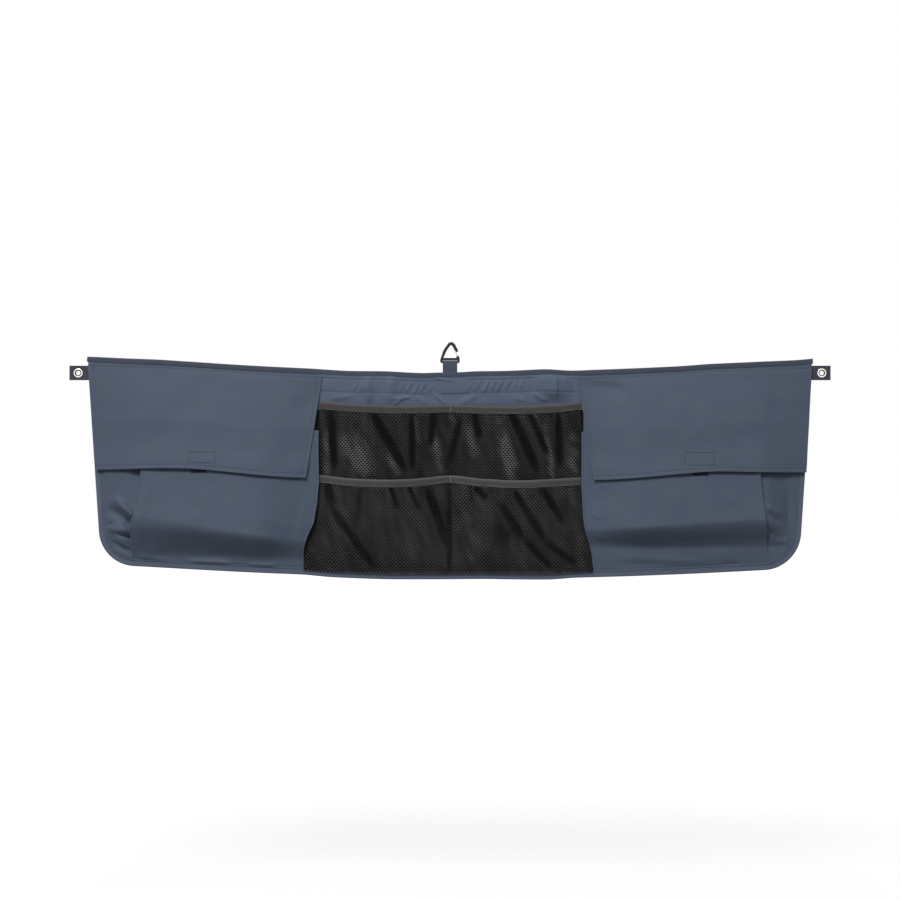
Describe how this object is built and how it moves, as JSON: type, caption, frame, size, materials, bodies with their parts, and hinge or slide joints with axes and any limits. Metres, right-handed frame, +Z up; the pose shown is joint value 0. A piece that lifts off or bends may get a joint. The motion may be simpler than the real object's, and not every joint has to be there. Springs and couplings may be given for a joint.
{
  "type": "hanging organizer",
  "caption": "Wide, low cloth organizer that hangs from side eyelets and a centre snap hook, with flapped cargo pockets left and right and black mesh pockets between them.",
  "frame": {"origin": "on the panel's back plane, midway between the two side eyelets", "axes": "+X along the hang line to the viewer's right, +Y out of the panel's back, +Z up"},
  "size_m": [1.314, 0.0488, 0.4064],
  "materials": {
    "panel_cloth": "matte",
    "binding_tape": "matte",
    "webbing": "matte",
    "net": "matte",
    "elastic": "matte",
    "hook_and_loop": "matte",
    "thread": "satin",
    "nickel": "polished",
    "black_enamel": "satin"
  },
  "bodies": {
    "panel": {"back_panel": "panel_cloth", "top_binding": "binding_tape", "edge_binding": "binding_tape", "hanging_webbing": "webbing", "left_eyelet": "nickel", "left_eyelet_washer": "nickel", "right_eyelet": "nickel", "right_eyelet_washer": "nickel", "left_pocket_front": "panel_cloth", "left_outer_gusset": "panel_cloth", "left_inner_gusset": "panel_cloth", "left_loop_patch": "hook_and_loop", "right_pocket_front": "panel_cloth", "right_outer_gusset": "panel_cloth", "right_inner_gusset": "panel_cloth", "right_loop_patch": "hook_and_loop", "upper_mesh": "net", "upper_elastic": "elastic", "lower_mesh": "net", "lower_elastic": "elastic", "upper_bar_tack": "thread", "lower_bar_tack": "thread", "strap_anchor": "webbing"},
    "left_flap": {"left_flap": "panel_cloth", "left_hook_patch": "hook_and_loop"},
    "right_flap": {"right_flap": "panel_cloth", "right_hook_patch": "hook_and_loop"},
    "strap": {"centre_strap": "webbing"},
    "hook": {"hook_body": "black_enamel"},
    "gate": {"hook_gate": "nickel"}
  },
  "joints": [
    {"name": "left_flap_lift", "type": "hinge", "parent": "panel", "child": "left_flap", "pos_m": [-0.22, -0.003, -0.00848], "axis": [-0.9985, 0, 0.0543], "range_deg": [0, 150]},
    {"name": "right_flap_lift", "type": "hinge", "parent": "panel", "child": "right_flap", "pos_m": [0.22, -0.003, -0.00848], "axis": [-0.9985, 0, -0.0543], "range_deg": [0, 150]},
    {"name": "strap_fold", "type": "hinge", "parent": "panel", "child": "strap", "pos_m": [0, 0.003, 0.0032], "axis": [1, 0, 0], "range_deg": [-85, 85], "stiffness_Nm_per_rad": 0.02},
    {"name": "hook_swivel", "type": "hinge", "parent": "strap", "child": "hook", "pos_m": [0, 0.003, 0.0186], "axis": [1, 0, 0], "range_deg": [-100, 100]},
    {"name": "gate_open", "type": "hinge", "parent": "hook", "child": "gate", "pos_m": [0.0133, 0.003, 0.0276], "axis": [0, -1, 0], "range_deg": [0, 45], "stiffness_Nm_per_rad": 0.004, "springref_deg": -5.73}
  ]
}
